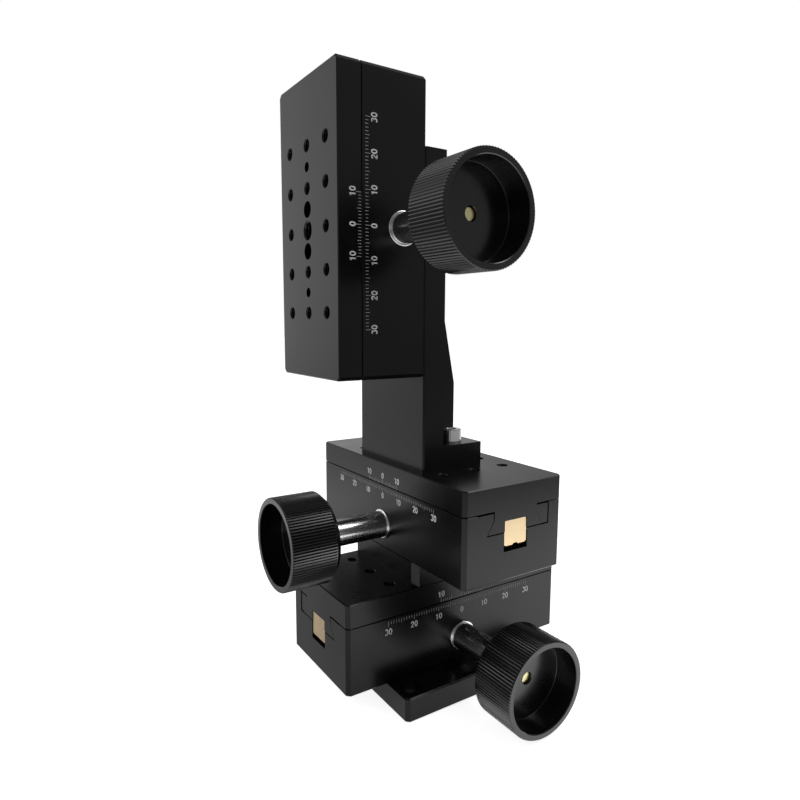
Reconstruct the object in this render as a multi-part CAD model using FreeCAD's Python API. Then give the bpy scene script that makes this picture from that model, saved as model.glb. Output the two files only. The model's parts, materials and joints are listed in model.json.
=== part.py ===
import FreeCAD, Part
import math
import os

# A three-axis positioning stage: two horizontal rack-and-pinion dovetail slides stacked
# crosswise, and a third one upright on an angle bracket, so that its table moves vertically.
# Millimetres. The origin is the centre of the base plate's underside and +Z is up.
# The lower slide travels along X, the middle one along Y and the vertical one along Z.
# The three slides are one design. Each is drawn once in its own frame, where u runs along
# the travel, v across it with the knob on the -v side, and w from the body's foot to the
# table's face, and is then placed three times.

# Slide: overall sizes
slide_length = 90.0
slide_width = 40.0
slide_height = 30.0
body_height = 22.0
travel = 30.0
upright_chamfer = 1.2
rim_chamfer = 0.3
foot_chamfer = 0.3
seam_chamfer = 0.1
seam_gap = 0.3

# Dovetail and gib. The flanks lean up to the neck, which stands upright with a wider gap.
dovetail_offset = 0.3
dovetail_depth = 7.0
dovetail_neck = 17.4
dovetail_lean = 30.0
neck_height = 2.2
neck_gap = 0.4
slide_gap = 0.2
tail_gap = 0.4
lip_land = 4.8
lip_relief = 0.2
gib_foot = 2.0
gib_slot = 0.3
gib_top_gap = 0.3
gib_screw_count = 4
gib_screw_pitch = 22.0
gib_screw_sink = 0.3

# Rack and pinion
gear_module = 0.5
pinion_teeth = 12
pressure_angle = 25.0
tooth_play = 0.08
root_clearance = 0.15
pinion_overlap = 1.0
pocket_clearance = 0.4
rack_width = 9.0
rack_seat_depth = 3.35
rack_corner = 0.5
rack_inset = 0.2
rack_notch_width = 2.4
rack_notch_depth = 0.9
rack_notch_run = 0.8
channel_side_gap = 0.3
channel_floor_gap = 1.7

# Pinion shaft, its sleeve and thrust washer
shaft_diameter = 4.0
journal_diameter = 3.0
journal_length = 6.0
running_gap = 0.05
seat_gap = 0.02
sleeve_diameter = 8.0
sleeve_end_gap = 0.5
sleeve_end_chamfer = 0.3
flange_diameter = 10.4
flange_thickness = 0.8
flange_edge = 0.25
washer_diameter = 7.6
washer_thickness = 0.8
end_play = 0.1
shaft_chamfer = 0.3

# Knob
knob_standoff = 23.2
knob_diameter = 30.0
knob_length = 16.8
knob_wall = 2.0
knob_cup_depth = 8.0
knob_back_chamfer = 2.0
knob_rim_chamfer = 0.3
knob_cup_chamfer = 0.2
knob_shaft_recess = 1.0
knurl_count = 100
knurl_depth = 0.4
knurl_land = 0.3

# Table holes: outer columns, then the centre column from the middle outwards
hole_pitch = 12.5
outer_hole_rows = 2
centre_hole_spare = 1.2
dowel_hole_diameter = 3.0
dowel_hole_depth = 6.0
dowel_row = 1.5

# Fasteners: nominal thread, cap head and hexagon socket
m2_5, m2_5_head, m2_5_head_height, m2_5_socket = 2.5, 4.5, 2.5, 2.0
m3, m3_head, m3_head_height, m3_socket = 3.0, 5.5, 3.0, 2.5
m3_grub_socket = 1.5
m4, m4_head, m4_head_height, m4_socket = 4.0, 7.0, 4.0, 3.0
m6 = 6.0
thread_gap = 0.05
clearance_gap = 0.25
head_gap = 0.25
grub_socket_depth = 1.2
rack_screw_length = 6.5
rack_screw_bite = 3.6
sleeve_screw_length = 4.0
sleeve_screw_sink = 0.25
sleeve_screw_inset = 8.0
body_screw_station = 16.0
body_screw_bite = 6.0
body_screw_sink = 0.6
knob_screw_length = 6.0
table_screw_spare = 0.8
blind_gap = 1.0

# Plates and bracket
base_length = 60.0
base_width = 62.0
base_thickness = 8.0
base_hole_pitch = 50.0
base_hole_diameter = 6.6
spacer_length = 40.0
spacer_width = 40.0
spacer_thickness = 8.0
spacer_corner = 2.0
plate_chamfer = 0.5
bracket_thickness = 8.0
bracket_height = 101.0
bracket_setback = 3.0
bracket_foot = 24.0
vertical_centre = 76.0
rib_thickness = 12.0
rib_shoulder = 27.0
rib_depth = 15.0
rib_corner = 4.0

# Worked out from the sizes above. Lengths within tolerance count as equal.
tolerance = 1e-6
lean = math.radians(dovetail_lean)
half_width = slide_width / 2
dovetail_floor = body_height - dovetail_depth
table_underside = body_height + seam_gap
neck_half = dovetail_neck / 2
neck_level = body_height - neck_height
flank_gap = slide_gap / math.cos(lean)
root_half = neck_half + (neck_level - dovetail_floor) * math.tan(lean)
tail_low = dovetail_floor + tail_gap
gib_face = root_half + flank_gap + gib_foot
gib_wall = gib_face + gib_slot
pitch_radius = gear_module * pinion_teeth / 2
tooth_pitch = math.pi * gear_module
tip_radius = pitch_radius + gear_module
root_radius = pitch_radius - gear_module - root_clearance
pinion_height = sleeve_screw_sink + sleeve_screw_length + sleeve_diameter / 2
rack_pitch_line = pinion_height + pitch_radius
rack_tips = rack_pitch_line - gear_module
rack_top = tail_low + rack_seat_depth
channel_half = rack_width / 2 + channel_side_gap
channel_floor = rack_tips - channel_floor_gap
sleeve_outer_end = -half_width - knob_standoff + washer_thickness + 2 * end_play
knob_back = -half_width - knob_standoff
knob_floor = knob_back - knob_length + knob_cup_depth
pinion_start = dovetail_offset - rack_width / 2 - pinion_overlap
sleeve_inner_end = pinion_start - sleeve_end_gap
pinion_end = dovetail_offset + rack_width / 2 + pinion_overlap
pocket_end = pinion_end + pocket_clearance
body_screw_spread = (channel_half + root_half) / 2
body_screw_seat = dovetail_floor - m3_head_height - body_screw_sink
rack_screw_seat = rack_top - rack_screw_bite + rack_screw_length
table_thickness = slide_height - table_underside
table_screw_bite = table_thickness - table_screw_spare
centre_hole_depth = table_thickness + centre_hole_spare

U = FreeCAD.Vector(1, 0, 0)
V = FreeCAD.Vector(0, 1, 0)
W = FreeCAD.Vector(0, 0, 1)


def at(u, v, w):
    """A point of the current frame."""
    return FreeCAD.Vector(u, v, w)


def rod(diameter, start, direction, length):
    """A round bar from start, along direction."""
    return Part.makeCylinder(diameter / 2, length, start, direction)


def outline(points):
    """A flat face inside a closed run of straight edges."""
    return Part.Face(Part.makePolygon(points + [points[0]]))


def along_u(points, length):
    """A (v, w) outline drawn out along u, centred on u = 0."""
    face = outline([at(-length / 2, v, w) for v, w in points])
    return face.extrude(U * length)


def eased_block(length, width, low, high, corner, rims=()):
    """A block centred on the w axis with chamfered upright edges, and rims as (level, chamfer)."""
    block = Part.makeBox(length, width, high - low, at(-length / 2, -width / 2, low))
    upright = [edge for edge in block.Edges if edge.BoundBox.ZLength > tolerance]
    block = block.makeChamfer(corner, upright)
    for level, size in rims:
        rim = [edge for edge in block.Edges
               if all(abs(vertex.Z - level) < tolerance for vertex in edge.Vertexes)]
        block = block.makeChamfer(size, rim)
    return block


def hexagon(across_flats, mouth, direction, depth):
    """The space of a hexagon socket."""
    radius = across_flats / 2 / math.cos(math.pi / 6)
    corners = [at(radius * math.cos(k * math.pi / 3), radius * math.sin(k * math.pi / 3), 0)
               for k in range(6)]
    socket = outline(corners).extrude(W * depth)
    socket.Placement = FreeCAD.Placement(mouth, FreeCAD.Rotation(W, direction))
    return socket


def cap_screw(thread, head, head_height, socket, seat, direction, length):
    """A socket cap screw: its head stands on seat and its shank points along direction."""
    top = seat - direction * head_height
    bar = rod(head, top, direction, head_height)
    shank = rod(thread - 2 * thread_gap, seat, direction, length)
    return bar.fuse(shank).cut(hexagon(socket, top, direction, head_height / 2))


def grub_screw(thread, socket, mouth, direction, length):
    """A headless screw with its socket at mouth, pointing along direction."""
    bar = rod(thread - 2 * thread_gap, mouth, direction, length)
    return bar.cut(hexagon(socket, mouth, direction, grub_socket_depth))


def body_screw_spots():
    """Where the four screws stand that hold a slide's body down, as (u, v)."""
    return [(side * body_screw_station, dovetail_offset + end * body_screw_spread)
            for side in (-1, 1) for end in (-1, 1)]


def gib_screw_stations():
    """Where the gib screws stand along u."""
    return [(k - (gib_screw_count - 1) / 2) * gib_screw_pitch for k in range(gib_screw_count)]


def flank_at(level):
    """Half the male dovetail's width at a height w."""
    return neck_half + max(neck_level - level, 0) * math.tan(lean)


def slide_body():
    """The fixed half: dovetail groove with its gib slot, rack channel, and bores across."""
    body = eased_block(slide_length, slide_width, 0, body_height, upright_chamfer,
                       ((0, foot_chamfer), (body_height, seam_chamfer)))
    above = body_height + seam_gap
    centre = dovetail_offset
    lip = centre - neck_half - neck_gap
    lip_foot = neck_level - (neck_gap - flank_gap) / math.tan(lean)
    relief_floor = body_height - lip_relief
    groove = [(lip_land - half_width, above), (lip_land - half_width, relief_floor),
              (lip, relief_floor), (lip, lip_foot),
              (centre - flank_at(dovetail_floor) - flank_gap, dovetail_floor),
              (centre + gib_wall, dovetail_floor),
              (centre + gib_wall, above)]
    channel = [(centre - channel_half, above), (centre - channel_half, channel_floor),
               (centre + channel_half, channel_floor), (centre + channel_half, above)]
    spaces = [along_u(groove, slide_length), along_u(channel, slide_length)]
    side = at(0, -half_width, pinion_height)
    pocket_start = at(0, sleeve_inner_end, pinion_height)
    spaces.append(rod(sleeve_diameter + 2 * seat_gap, side, V, half_width + sleeve_inner_end))
    spaces.append(rod(2 * (tip_radius + pocket_clearance), pocket_start, V,
                      pocket_end - sleeve_inner_end))
    spaces.append(rod(journal_diameter + 2 * running_gap, at(0, pocket_end, pinion_height), V,
                      journal_length + blind_gap))
    spaces.append(rod(m3, at(0, sleeve_screw_inset - half_width, 0), W, pinion_height))
    for u, v in body_screw_spots():
        head_space = dovetail_floor - body_screw_seat
        spaces.append(rod(m3 + 2 * clearance_gap, at(u, v, 0), W, dovetail_floor))
        spaces.append(rod(m3_head + 2 * head_gap, at(u, v, body_screw_seat), W, head_space))
    for u in gib_screw_stations():
        mouth = at(u, half_width, (dovetail_floor + body_height) / 2)
        spaces.append(rod(m3, mouth, -V, half_width - centre - gib_wall))
    return body.cut(spaces)


def gib():
    """The adjusting strip between the dovetail's flank and the groove's upright wall."""
    high = body_height - gib_top_gap
    section = [(dovetail_offset + flank_at(tail_low) + flank_gap, tail_low),
               (dovetail_offset + gib_face, tail_low),
               (dovetail_offset + gib_face, high),
               (dovetail_offset + neck_half + flank_gap, high),
               (dovetail_offset + neck_half + flank_gap, neck_level)]
    return along_u(section, slide_length - 2 * rack_inset)


def gib_screws():
    """Grub screws through the body's wall that press on the gib."""
    length = half_width - gib_screw_sink - dovetail_offset - gib_face
    level = (dovetail_floor + body_height) / 2
    return Part.makeCompound([grub_screw(m3, m3_grub_socket, at(u, half_width - gib_screw_sink, level),
                                         -V, length) for u in gib_screw_stations()])


def slide_table():
    """The moving half: a plate with the male dovetail, the rack's slot and the hole pattern."""
    plate = eased_block(slide_length, slide_width, table_underside, slide_height, upright_chamfer,
                        ((table_underside, seam_chamfer), (slide_height, rim_chamfer)))
    centre = dovetail_offset
    tail_high = table_underside + seam_chamfer
    tail = [(centre - flank_at(tail_low), tail_low), (centre + flank_at(tail_low), tail_low),
            (centre + neck_half, neck_level), (centre + neck_half, tail_high),
            (centre - neck_half, tail_high), (centre - neck_half, neck_level)]
    slot = [(centre - rack_width / 2 - seat_gap, dovetail_floor),
            (centre + rack_width / 2 + seat_gap, dovetail_floor),
            (centre + rack_width / 2 + seat_gap, rack_top),
            (centre - rack_width / 2 - seat_gap, rack_top)]
    spaces = [along_u(slot, slide_length)]
    for row in range(-outer_hole_rows, outer_hole_rows + 1):
        for v in (-hole_pitch, hole_pitch):
            spaces.append(rod(m4, at(row * hole_pitch, v, slide_height), -W, table_thickness))
    for side in (-1, 1):
        for row in range(1, outer_hole_rows + 1):
            mouth = at(side * row * hole_pitch, 0, slide_height)
            spaces.append(rod(m4, mouth, -W, centre_hole_depth))
        dowel_mouth = at(side * dowel_row * hole_pitch, 0, slide_height)
        spaces.append(rod(dowel_hole_diameter, dowel_mouth, -W, dowel_hole_depth))
        screw_mouth = at(side * hole_pitch / 2, 0, slide_height)
        spaces.append(rod(m2_5_head + 2 * head_gap, screw_mouth, -W, slide_height - rack_screw_seat))
        spaces.append(rod(m2_5 + 2 * clearance_gap, screw_mouth, -W, slide_height - rack_top))
    spaces.append(rod(m6, at(0, 0, slide_height), -W, centre_hole_depth))
    return plate.fuse(along_u(tail, slide_length)).cut(spaces)


def rack():
    """The toothed bar in the table's dovetail. Its teeth span the pinion's reach."""
    half = slide_length / 2 - rack_inset
    slope = math.tan(math.radians(pressure_angle))
    root = rack_pitch_line + gear_module + root_clearance
    tip_half_gap = tooth_pitch / 4 + gear_module * slope
    root_half_gap = tooth_pitch / 4 - (root - rack_pitch_line) * slope
    last = math.ceil((travel + tip_radius) / tooth_pitch)
    points = [(-half, rack_top), (-half, rack_tips)]
    for k in range(-last, last + 1):
        u = k * tooth_pitch
        points += [(u - tip_half_gap, rack_tips), (u - root_half_gap, root),
                   (u + root_half_gap, root), (u + tip_half_gap, rack_tips)]
    points += [(half, rack_tips), (half, rack_top)]
    near = dovetail_offset - rack_width / 2
    toothed = outline([at(u, near, w) for u, w in points]).extrude(V * rack_width)
    stock = Part.makeBox(2 * half, rack_width, rack_top - rack_tips, at(-half, near, rack_tips))
    lengthwise = [edge for edge in stock.Edges if edge.BoundBox.XLength > tolerance]
    bar = toothed.common(stock.makeChamfer(rack_corner, lengthwise))
    notch = [at(half - rack_notch_run, dovetail_offset - rack_notch_width / 2, rack_tips),
             at(half - rack_notch_run, dovetail_offset + rack_notch_width / 2, rack_tips),
             at(half - rack_notch_run, dovetail_offset, rack_tips + rack_notch_depth)]
    spaces = [outline(notch).extrude(U * 2 * rack_notch_run)]
    for side in (-1, 1):
        mouth = at(side * hole_pitch / 2, 0, rack_top)
        spaces.append(rod(m2_5, mouth, -W, rack_screw_bite + blind_gap / 2))
    return bar.cut(spaces)


def rack_screws():
    """The two cap screws that hold the rack, deep in the table's face."""
    return Part.makeCompound([
        cap_screw(m2_5, m2_5_head, m2_5_head_height, m2_5_socket,
                  at(side * hole_pitch / 2, 0, rack_screw_seat), -W, rack_screw_length)
        for side in (-1, 1)])


def tooth_half_angle(radius):
    """Half the angle that an involute tooth fills at a radius."""
    def involute(angle):
        return math.tan(angle) - angle
    base_radius = pitch_radius * math.cos(math.radians(pressure_angle))
    thickness = tooth_pitch / 2 - tooth_play
    here = math.acos(min(1.0, base_radius / radius))
    return thickness / 2 / pitch_radius + involute(math.radians(pressure_angle)) - involute(here)


def pinion_section():
    """The pinion's outline in the u-w plane, with one tooth pointing up at the rack."""
    def point(radius, angle):
        return at(radius * math.sin(angle), pinion_start, pinion_height + radius * math.cos(angle))
    base_radius = pitch_radius * math.cos(math.radians(pressure_angle))
    middle_radius = (base_radius + tip_radius) / 2
    base_half = tooth_half_angle(base_radius)
    middle_half = tooth_half_angle(middle_radius)
    tip_half = tooth_half_angle(tip_radius)
    step = 2 * math.pi / pinion_teeth
    edges = []
    for k in range(pinion_teeth):
        a = k * step
        edges.append(Part.makeLine(point(root_radius, a - base_half), point(base_radius, a - base_half)))
        edges.append(Part.Arc(point(base_radius, a - base_half), point(middle_radius, a - middle_half),
                              point(tip_radius, a - tip_half)).toShape())
        edges.append(Part.Arc(point(tip_radius, a - tip_half), point(tip_radius, a),
                              point(tip_radius, a + tip_half)).toShape())
        edges.append(Part.Arc(point(tip_radius, a + tip_half), point(middle_radius, a + middle_half),
                              point(base_radius, a + base_half)).toShape())
        edges.append(Part.makeLine(point(base_radius, a + base_half), point(root_radius, a + base_half)))
        edges.append(Part.Arc(point(root_radius, a + base_half), point(root_radius, a + step / 2),
                              point(root_radius, a + step - base_half)).toShape())
    return Part.Face(Part.Wire(edges))


def pinion_shaft():
    """Shaft, pinion and far journal in one piece. Its outer end shows in the knob's cup."""
    outer_end = knob_floor + knob_shaft_recess
    shaft = rod(shaft_diameter, at(0, outer_end, pinion_height), V, pinion_start - outer_end)
    end_rim = [edge for edge in shaft.Edges
               if len(edge.Vertexes) == 1 and abs(edge.CenterOfMass.y - outer_end) < tolerance]
    shaft = shaft.makeChamfer(shaft_chamfer, end_rim)
    toothed = pinion_section().extrude(V * (pinion_end - pinion_start))
    journal = rod(journal_diameter, at(0, pinion_end, pinion_height), V,
                  pocket_end - pinion_end + journal_length)
    return shaft.fuse([toothed, journal])


def turned(profile):
    """A solid of revolution about the pinion axis, from (v, radius) points."""
    face = outline([at(0, v, pinion_height + radius) for v, radius in profile])
    return face.revolve(at(0, 0, pinion_height), V, 360)


def sleeve():
    """The polished bearing sleeve, with a thin flange against the body's side."""
    inner = shaft_diameter / 2 + running_gap
    outer = sleeve_diameter / 2
    return turned([(sleeve_outer_end, inner), (sleeve_outer_end, outer - sleeve_end_chamfer),
                   (sleeve_outer_end + sleeve_end_chamfer, outer),
                   (-half_width - flange_thickness, outer),
                   (-half_width - flange_thickness, flange_diameter / 2 - flange_edge),
                   (-half_width - flange_thickness + flange_edge, flange_diameter / 2),
                   (-half_width, flange_diameter / 2),
                   (-half_width, outer),
                   (sleeve_inner_end, outer),
                   (sleeve_inner_end, inner)])


def sleeve_screw():
    """The grub screw in the body's foot that holds the sleeve."""
    mouth = at(0, sleeve_screw_inset - half_width, sleeve_screw_sink)
    return grub_screw(m3, m3_grub_socket, mouth, W, sleeve_screw_length)


def washer():
    """The thrust washer between the sleeve and the knob."""
    start = knob_back + end_play
    inner = shaft_diameter / 2 + running_gap
    outer = washer_diameter / 2
    return turned([(start, inner), (start, outer), (start + washer_thickness, outer),
                   (start + washer_thickness, inner)])


def knurled_bar(start, length):
    """A bar whose lands lie on the knob's round, with a V groove between each two."""
    radius = knob_diameter / 2
    step = 2 * math.pi / knurl_count
    half_land = knurl_land / knob_diameter
    corners = []
    for k in range(knurl_count):
        for angle, reach in ((k * step - half_land, radius), (k * step + half_land, radius),
                             ((k + 0.5) * step, radius - knurl_depth)):
            corners.append(at(reach * math.sin(angle), start, pinion_height + reach * math.cos(angle)))
    return outline(corners).extrude(V * length)


def knob():
    """The cup knob: a deep dish in front, a solid back half, and a straight knurl all along."""
    front = knob_back - knob_length
    radius = knob_diameter / 2
    cup = radius - knob_wall
    blank = turned([(knob_back, 0), (knob_back, radius - knob_back_chamfer),
                    (knob_back - knob_back_chamfer, radius), (front + knob_rim_chamfer, radius),
                    (front, radius - knob_rim_chamfer), (front, 0)])
    dish = turned([(knob_floor, 0), (knob_floor, cup), (front + knob_cup_chamfer, cup),
                   (front, cup + knob_cup_chamfer), (front, 0)])
    bore = rod(shaft_diameter + 2 * seat_gap, at(0, front, pinion_height), V, knob_length)
    screw_axis = at(0, (knob_back + knob_floor) / 2, pinion_height)
    return knurled_bar(front, knob_length).common(blank).cut([dish, bore, rod(m3, screw_axis, -W, radius)])


def knob_screw():
    """The grub screw that clamps the knob on the shaft, from the side away from the table."""
    tip = pinion_height - shaft_diameter / 2
    mouth = at(0, (knob_back + knob_floor) / 2, tip - knob_screw_length)
    return grub_screw(m3, m3_grub_socket, mouth, W, knob_screw_length)


def body_screws():
    """The cap screws in the groove's floor that hold the body to what carries it."""
    return Part.makeCompound([
        cap_screw(m3, m3_head, m3_head_height, m3_socket, at(u, v, body_screw_seat), -W,
                  body_screw_seat + body_screw_bite) for u, v in body_screw_spots()])


def body_screw_threads(placement):
    """The threaded holes for a body's screws in the piece under it."""
    holes = Part.makeCompound([rod(m3, at(u, v, 0), -W, body_screw_bite + blind_gap)
                               for u, v in body_screw_spots()])
    holes.Placement = placement
    return holes


def base_plate():
    """The foot plate, with a clearance hole near each corner."""
    plate = eased_block(base_length, base_width, 0, base_thickness, upright_chamfer,
                        ((0, plate_chamfer), (base_thickness, plate_chamfer)))
    reach = base_hole_pitch / 2
    spaces = [rod(base_hole_diameter, at(x, y, base_thickness), -W, base_thickness)
              for x in (-reach, reach) for y in (-reach, reach)]
    return plate.cut(spaces + [body_screw_threads(lower_place)])


def spacer_screw_spots():
    """Four of the lower table's threads, as (x, y)."""
    return [(hole_pitch, 0), (-hole_pitch, 0), (0, hole_pitch), (0, -hole_pitch)]


def spacer_plate():
    """The block between the two horizontal slides, with counterbored screw holes."""
    low = lower_top
    high = middle_foot
    plate = eased_block(spacer_length, spacer_width, low, high, spacer_corner)
    seat = high - m4_head_height - body_screw_sink
    spaces = [body_screw_threads(middle_place)]
    for x, y in spacer_screw_spots():
        spaces.append(rod(m4 + 2 * clearance_gap, at(x, y, low), W, spacer_thickness))
        spaces.append(rod(m4_head + 2 * head_gap, at(x, y, seat), W, high - seat))
    return plate.cut(spaces)


def spacer_screws():
    """The cap screws that hold the spacer on the lower table."""
    seat = middle_foot - m4_head_height - body_screw_sink
    return Part.makeCompound([
        cap_screw(m4, m4_head, m4_head_height, m4_socket, at(x, y, seat), -W,
                  seat - lower_top + table_screw_bite) for x, y in spacer_screw_spots()])


def angle_bracket():
    """The upright plate on a foot, stiffened by a tapering rib behind it."""
    front = bracket_front
    back = front + bracket_thickness
    low = middle_top
    plate = Part.makeBox(bracket_thickness, slide_width, bracket_height, at(front, -half_width, low))
    foot = Part.makeBox(bracket_foot, slide_width, bracket_thickness, at(front, -half_width, low))
    side = plate.fuse(foot).removeSplitter()
    upright = [edge for edge in side.Edges
               if edge.BoundBox.XMax < front + tolerance and edge.BoundBox.ZLength > tolerance]
    side = side.makeChamfer(plate_chamfer, upright)
    top = low + bracket_height
    foot_top = low + bracket_thickness
    near = -rib_thickness / 2
    rib = outline([at(back, near, foot_top), at(back + rib_depth, near, foot_top),
                   at(back + rib_depth, near, low + rib_shoulder),
                   at(back, near, top)]).extrude(V * rib_thickness)
    shoulder = [edge for edge in rib.Edges
                if edge.BoundBox.ZLength < tolerance and abs(edge.BoundBox.ZMin - low - rib_shoulder) < tolerance]
    rib = rib.makeFillet(rib_corner, shoulder)
    spaces = [body_screw_threads(vertical_place)]
    for x, y in bracket_screw_spots():
        spaces.append(rod(m4 + 2 * clearance_gap, at(x, y, low), W, bracket_thickness))
    return side.fuse(rib).cut(spaces)


def bracket_screw_spots():
    """Two of the middle table's threads, one each side of the rib, as (x, y)."""
    return [(0, -hole_pitch), (0, hole_pitch)]


def bracket_screws():
    """The polished cap screws on the bracket's foot."""
    seat = middle_top + bracket_thickness
    return Part.makeCompound([
        cap_screw(m4, m4_head, m4_head_height, m4_socket, at(x, y, seat), -W,
                  bracket_thickness + table_screw_bite) for x, y in bracket_screw_spots()])


# Where the three slides stand
lower_top = base_thickness + slide_height
middle_foot = lower_top + spacer_thickness
middle_top = middle_foot + slide_height
bracket_front = -half_width + bracket_setback
lower_place = FreeCAD.Placement(at(0, 0, base_thickness), FreeCAD.Rotation())
middle_place = FreeCAD.Placement(at(0, 0, middle_foot), FreeCAD.Rotation(W, -90))
vertical_place = FreeCAD.Placement(at(bracket_front, 0, middle_top + vertical_centre),
                                   FreeCAD.Rotation(V, -90))


def main():
    """Build every piece once, place it, and write one file per node."""
    slide_pieces = {"body": slide_body(), "body_screws": body_screws(), "gib": gib(),
                    "gib_screws": gib_screws(), "table": slide_table(), "rack": rack(),
                    "rack_screws": rack_screws(), "sleeve": sleeve(), "sleeve_screw": sleeve_screw(),
                    "pinion_shaft": pinion_shaft(), "washer": washer(), "knob": knob(),
                    "knob_screw": knob_screw()}
    nodes = {"base_plate": base_plate(), "spacer_plate": spacer_plate(),
             "spacer_screws": spacer_screws(), "angle_bracket": angle_bracket(),
             "bracket_screws": bracket_screws()}
    places = {"lower": lower_place, "middle": middle_place, "vertical": vertical_place}
    for stage, place in places.items():
        for piece, shape in slide_pieces.items():
            placed = shape.copy()
            placed.Placement = place
            nodes[stage + "_" + piece] = placed
    os.makedirs("parts", exist_ok=True)
    for name, shape in nodes.items():
        shape.exportStep(os.path.join("parts", name + ".step"))


main()
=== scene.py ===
import json
import math

import bmesh
import bpy
import numpy as np
from mathutils import Matrix, Vector


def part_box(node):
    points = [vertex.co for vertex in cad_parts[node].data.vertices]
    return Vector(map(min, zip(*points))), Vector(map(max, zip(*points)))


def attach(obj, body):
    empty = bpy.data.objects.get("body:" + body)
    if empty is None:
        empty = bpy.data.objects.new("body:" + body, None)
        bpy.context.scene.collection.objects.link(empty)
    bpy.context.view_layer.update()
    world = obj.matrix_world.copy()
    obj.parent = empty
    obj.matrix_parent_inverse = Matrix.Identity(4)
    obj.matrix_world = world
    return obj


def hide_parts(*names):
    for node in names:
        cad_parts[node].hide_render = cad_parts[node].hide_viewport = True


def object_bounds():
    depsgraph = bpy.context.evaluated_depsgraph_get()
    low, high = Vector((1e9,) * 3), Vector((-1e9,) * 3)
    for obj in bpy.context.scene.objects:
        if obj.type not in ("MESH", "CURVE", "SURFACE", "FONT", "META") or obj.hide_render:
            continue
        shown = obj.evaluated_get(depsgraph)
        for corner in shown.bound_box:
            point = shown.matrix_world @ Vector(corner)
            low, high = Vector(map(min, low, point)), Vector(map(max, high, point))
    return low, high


bl_info = {
    "name": "Three-axis dovetail stage",
    "version": (1, 0, 0),
    "blender": (4, 5, 0),
    "location": "3D View > Sidebar > Stage",
    "description": "Dresses the three-axis dovetail stage: knobs, sleeves, threads, scales, "
                   "finishes and studio",
    "category": "Object",
}

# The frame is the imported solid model, in metres. Shapes below are worked out in millimetres in
# a slide's own frame: u runs along its travel, v across it with the knob on the -v side, and
# w from the body's foot to the table's face. All three slides are one design.
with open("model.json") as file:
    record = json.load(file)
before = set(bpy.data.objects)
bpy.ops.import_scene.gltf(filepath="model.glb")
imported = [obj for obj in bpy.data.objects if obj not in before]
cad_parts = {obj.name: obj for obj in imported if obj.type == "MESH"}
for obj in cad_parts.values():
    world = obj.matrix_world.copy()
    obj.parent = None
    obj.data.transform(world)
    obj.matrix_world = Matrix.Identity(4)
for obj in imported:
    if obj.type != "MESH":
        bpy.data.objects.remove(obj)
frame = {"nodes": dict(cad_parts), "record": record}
CAD_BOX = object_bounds()
MM = 0.001
TURN = 2 * math.pi
SLIDES = ("lower", "middle", "vertical")
SLIDE_AXES = {
    "lower": np.array(((1, 0, 0), (0, 1, 0), (0, 0, 1)), float),
    "middle": np.array(((0, -1, 0), (1, 0, 0), (0, 0, 1)), float),
    "vertical": np.array(((0, 0, 1), (0, 1, 0), (-1, 0, 0)), float),
}
BODY_OF = {"lower": "base", "middle": "lower_carriage", "vertical": "middle_carriage"}
TABLE_OF = {slide: slide + "_carriage" for slide in SLIDES}
KNOB_OF = {slide: slide + "_handwheel" for slide in SLIDES}


def slide_origin(slide):
    """The middle of the foot of a slide's body, in metres."""
    low, high = (np.array(corner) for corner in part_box(slide + "_body"))
    up = SLIDE_AXES[slide][2]
    return (low + high) / 2 - up * abs(np.dot(high - low, up)) / 2


def local_box(node, slide="lower"):
    """The lowest and highest corner of a node in a slide's own frame, in millimetres."""
    corners = (np.array(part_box(node)) - slide_origin(slide)) @ SLIDE_AXES[slide].T / MM
    return corners.min(axis=0), corners.max(axis=0)


def seat(points, slide):
    """Points from a slide's own frame, put at their place on the object, in metres."""
    return slide_origin(slide) + (points * MM) @ SLIDE_AXES[slide]


BODY_LOW, BODY_HIGH = local_box("lower_body")
TABLE_TOP = local_box("lower_table")[1][2]
KNOB_LOW, KNOB_HIGH = local_box("lower_knob")
SLEEVE_LOW, SLEEVE_HIGH = local_box("lower_sleeve")
WASHER_LOW, WASHER_HIGH = local_box("lower_washer")
GRUB_LOW, GRUB_HIGH = local_box("lower_knob_screw")
SCREWS_LOW, SCREWS_HIGH = (np.array(corner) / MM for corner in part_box("bracket_screws"))
PINION_LEVEL = (KNOB_LOW[2] + KNOB_HIGH[2]) / 2


def length(name, description, default):
    """A length that a user may change, kept in metres."""
    return bpy.props.FloatProperty(name=name, description=description, default=default * MM,
                                   min=0.0, unit="LENGTH", precision=5)


def colour(name, description, default):
    """A colour that a user may change."""
    return bpy.props.FloatVectorProperty(name=name, description=description, default=default,
                                         subtype="COLOR", size=3, min=0.0, max=1.0)


def share(name, description, default):
    """A plain number from nought to one."""
    return bpy.props.FloatProperty(name=name, description=description, default=default,
                                   min=0.0, max=1.0, subtype="FACTOR")


class StageKnobSizes(bpy.types.PropertyGroup):
    """Sizes of the cup knobs."""
    diameter: length("Knob diameter", "Across the lands of the grip", KNOB_HIGH[0] - KNOB_LOW[0])
    wall: length("Cup wall", "Thickness of the cup's wall", 2.0)
    cup_depth: length("Cup depth", "From the rim to the cup's floor", 8.0)
    cup_fillet: length("Cup fillet", "Radius between the cup's wall and floor", 0.2)
    rim_ease: length("Rim ease", "Chamfer of the rim's outer edge", 0.3)
    cup_ease: length("Cup ease", "Chamfer of the cup's mouth", 0.2)
    back_ease: length("Back ease", "Chamfer at the back of the grip", 2.0)
    knurl_depth: length("Groove depth", "Depth of the grip's grooves", 0.4)
    knurl_count: bpy.props.IntProperty(name="Grooves", description="Grooves round the grip",
                                       default=100, min=12)


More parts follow.
